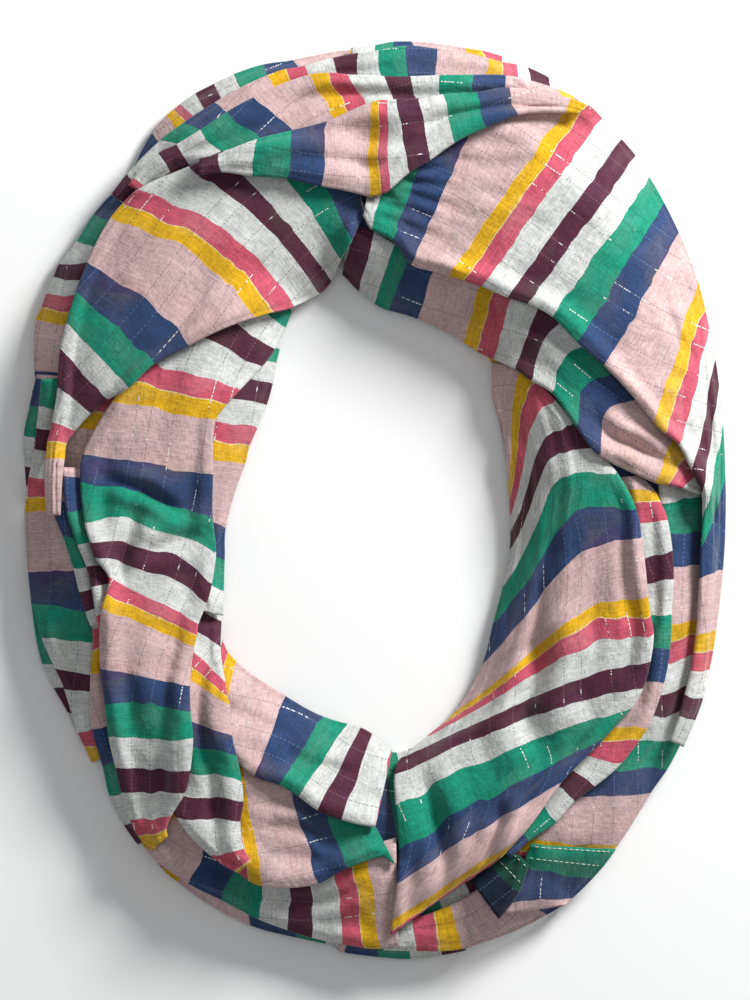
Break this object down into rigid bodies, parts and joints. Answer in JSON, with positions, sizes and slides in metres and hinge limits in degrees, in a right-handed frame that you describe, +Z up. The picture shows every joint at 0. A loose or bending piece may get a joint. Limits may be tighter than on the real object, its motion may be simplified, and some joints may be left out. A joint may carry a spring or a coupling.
{
  "type": "infinity scarf",
  "caption": "Light striped infinity scarf, doubled and laid flat in an oval ring of soft overlapping folds round an open middle.",
  "frame": {"origin": "under the middle of the scarf, on the surface it lies on", "axes": "+Z up from the surface, +Y along the ring's length to its far end, +X to its right seen from above"},
  "size_m": [0.3106, 0.406, 0.0444],
  "materials": {
    "striped_voile": "light plain-woven voile in crosswise stripes of pink, yellow, rose, off-white, burgundy, green and navy, with lengthwise metallic threads"
  },
  "bodies": {
    "root": {"far_back_turn": "striped_voile", "far_front_turn": "striped_voile", "far_left_front_turn": "striped_voile", "far_middle_turn": "striped_voile", "far_right_front_turn": "striped_voile", "far_right_hole_roll_turn": "striped_voile", "far_rim_left_turn": "striped_voile", "far_rim_right_turn": "striped_voile", "hidden_layers": "striped_voile", "join_seam_tab": "striped_voile", "join_seam_turn": "striped_voile", "left_front_turn": "striped_voile", "left_hole_roll_turn": "striped_voile", "left_inner_fold_turn": "striped_voile", "left_low_strip_turn": "striped_voile", "left_outer_fold_turn": "striped_voile", "left_rim_lower_turn": "striped_voile", "left_rim_middle_turn": "striped_voile", "left_rim_roll_turn": "striped_voile", "left_rim_upper_turn": "striped_voile", "left_second_strip_turn": "striped_voile", "near_hole_roll_turn": "striped_voile", "near_left_front_turn": "striped_voile", "near_rim_band_turn": "striped_voile", "near_rim_left_turn": "striped_voile", "near_rim_middle_turn": "striped_voile", "near_rim_right_turn": "striped_voile", "right_front_turn": "striped_voile", "right_low_strip_turn": "striped_voile", "right_rim_middle_turn": "striped_voile"}
  },
  "joints": []
}
